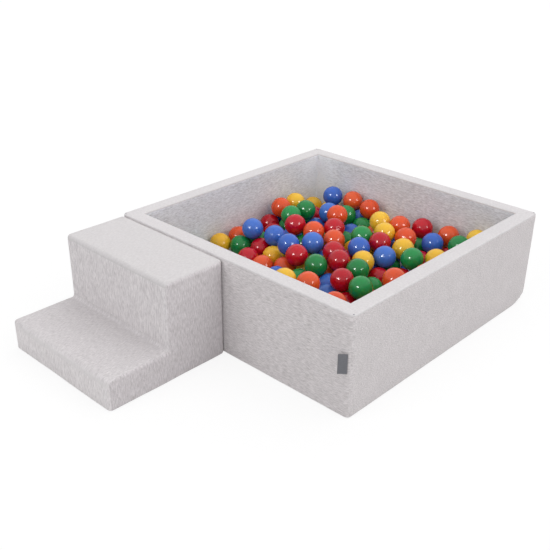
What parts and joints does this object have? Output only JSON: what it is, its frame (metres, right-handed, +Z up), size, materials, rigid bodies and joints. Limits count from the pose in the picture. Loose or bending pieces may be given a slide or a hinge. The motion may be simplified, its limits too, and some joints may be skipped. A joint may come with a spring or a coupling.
{
  "type": "ball pit",
  "caption": "Square foam-walled ball pit in a pale grey jersey cover, full of hollow coloured balls, with a loose two-tread foam step.",
  "frame": {"origin": "middle of the pit's underside, on the ground", "axes": "+Z up; -Y is the front, where the step stands; +X is to the right, seen from the front"},
  "size_m": [0.9045, 1.3053, 0.3],
  "materials": {
    "jersey_grey": "melange jersey, pale grey, matte",
    "jersey_pale": "the same jersey in a lighter shade over the rim",
    "base_cloth": "plain woven base cloth, matte",
    "foam_white": "cut upholstery foam, open cells",
    "woven_label": "dense woven tape, bare",
    "zip_tape": "woven tape with a nylon coil",
    "zip_metal": "grey painted die-cast zinc",
    "ball_red": "blow-moulded polyethylene, glossy",
    "ball_green": "blow-moulded polyethylene, glossy",
    "ball_yellow": "blow-moulded polyethylene, glossy",
    "ball_blue": "blow-moulded polyethylene, glossy",
    "ball_orange": "blow-moulded polyethylene, glossy"
  },
  "bodies": {
    "pit": {"foam_wall_front": "foam_white", "foam_wall_right": "foam_white", "foam_wall_back": "foam_white", "foam_wall_left": "foam_white", "outer_cover_front": "jersey_grey", "outer_cover_right": "jersey_grey", "outer_cover_back": "jersey_grey", "outer_cover_left": "jersey_grey", "rim_strip_front": "jersey_pale", "rim_strip_right": "jersey_pale", "rim_strip_back": "jersey_pale", "rim_strip_left": "jersey_pale", "inner_cover_front": "jersey_grey", "inner_cover_right": "jersey_grey", "inner_cover_back": "jersey_grey", "inner_cover_left": "jersey_grey", "foam_floor": "foam_white", "floor_cloth": "jersey_grey", "underside_cloth": "base_cloth", "pit_zip_tape": "zip_tape", "ball_group_01": "ball_green", "ball_group_02": "ball_yellow", "ball_group_03": "ball_blue", "ball_group_04": "ball_orange", "ball_group_05": "ball_red", "ball_group_06": "ball_green", "ball_group_07": "ball_yellow", "ball_group_08": "ball_blue", "ball_group_09": "ball_orange", "ball_group_10": "ball_red", "ball_group_11": "ball_green", "ball_group_12": "ball_yellow"},
    "step": {"step_foam_upper": "foam_white", "step_foam_lower": "foam_white", "step_left_side": "jersey_grey", "step_right_side": "jersey_grey", "step_upper_tread": "jersey_grey", "step_upper_riser": "jersey_grey", "step_lower_tread": "jersey_grey", "step_lower_riser": "jersey_grey", "step_back_cover": "jersey_grey", "step_base": "jersey_grey", "step_zip_tape": "zip_tape"},
    "label": {"label": "woven_label"},
    "pit_zip_slider": {"pit_zip_slider": "zip_metal"},
    "pit_zip_pull": {"pit_zip_pull": "zip_metal"},
    "step_zip_slider": {"step_zip_slider": "zip_metal"},
    "step_zip_pull": {"step_zip_pull": "zip_metal"},
    "loose_ball_01": {"loose_ball_01": "ball_orange"},
    "loose_ball_02": {"loose_ball_02": "ball_orange"},
    "loose_ball_03": {"loose_ball_03": "ball_yellow"},
    "loose_ball_04": {"loose_ball_04": "ball_blue"},
    "loose_ball_05": {"loose_ball_05": "ball_yellow"},
    "loose_ball_06": {"loose_ball_06": "ball_blue"},
    "loose_ball_07": {"loose_ball_07": "ball_red"},
    "loose_ball_08": {"loose_ball_08": "ball_blue"},
    "loose_ball_09": {"loose_ball_09": "ball_red"},
    "loose_ball_10": {"loose_ball_10": "ball_yellow"},
    "loose_ball_11": {"loose_ball_11": "ball_green"},
    "loose_ball_12": {"loose_ball_12": "ball_blue"}
  },
  "joints": [
    {"name": "step_slide", "type": "slide", "parent": "pit", "child": "step", "axis": [0, -1, 0], "range_m": [0, 0.3]},
    {"name": "pit_zip_slide", "type": "slide", "parent": "pit", "child": "pit_zip_slider", "axis": [1, 0, 0], "range_m": [0, 0.58]},
    {"name": "pit_zip_pull_flip", "type": "hinge", "parent": "pit_zip_slider", "child": "pit_zip_pull", "pos_m": [-0.2937, 0.4526, 0.034], "axis": [0, 0, 1], "range_deg": [0, 180]},
    {"name": "step_zip_slide", "type": "slide", "parent": "step", "child": "step_zip_slider", "axis": [0, 1, 0], "range_m": [0, 0.28]},
    {"name": "step_zip_pull_flip", "type": "hinge", "parent": "step_zip_slider", "child": "step_zip_pull", "pos_m": [-0.4526, -0.7945, 0.034], "axis": [0, 0, 1], "range_deg": [0, 180]},
    {"name": "label_flap", "type": "hinge", "parent": "pit", "child": "label", "pos_m": [0.44, -0.4509, 0.134], "axis": [0, 0, 1], "range_deg": [-40, 110]},
    {"name": "loose_ball_01_lift", "type": "slide", "parent": "pit", "child": "loose_ball_01", "axis": [0, 0, 1], "range_m": [0, 0.25]},
    {"name": "loose_ball_02_lift", "type": "slide", "parent": "pit", "child": "loose_ball_02", "axis": [0, 0, 1], "range_m": [0, 0.25]},
    {"name": "loose_ball_03_lift", "type": "slide", "parent": "pit", "child": "loose_ball_03", "axis": [0, 0, 1], "range_m": [0, 0.25]},
    {"name": "loose_ball_04_lift", "type": "slide", "parent": "pit", "child": "loose_ball_04", "axis": [0, 0, 1], "range_m": [0, 0.25]},
    {"name": "loose_ball_05_lift", "type": "slide", "parent": "pit", "child": "loose_ball_05", "axis": [0, 0, 1], "range_m": [0, 0.25]},
    {"name": "loose_ball_06_lift", "type": "slide", "parent": "pit", "child": "loose_ball_06", "axis": [0, 0, 1], "range_m": [0, 0.25]},
    {"name": "loose_ball_07_lift", "type": "slide", "parent": "pit", "child": "loose_ball_07", "axis": [0, 0, 1], "range_m": [0, 0.25]},
    {"name": "loose_ball_08_lift", "type": "slide", "parent": "pit", "child": "loose_ball_08", "axis": [0, 0, 1], "range_m": [0, 0.25]},
    {"name": "loose_ball_09_lift", "type": "slide", "parent": "pit", "child": "loose_ball_09", "axis": [0, 0, 1], "range_m": [0, 0.25]},
    {"name": "loose_ball_10_lift", "type": "slide", "parent": "pit", "child": "loose_ball_10", "axis": [0, 0, 1], "range_m": [0, 0.25]},
    {"name": "loose_ball_11_lift", "type": "slide", "parent": "pit", "child": "loose_ball_11", "axis": [0, 0, 1], "range_m": [0, 0.25]},
    {"name": "loose_ball_12_lift", "type": "slide", "parent": "pit", "child": "loose_ball_12", "axis": [0, 0, 1], "range_m": [0, 0.25]}
  ]
}
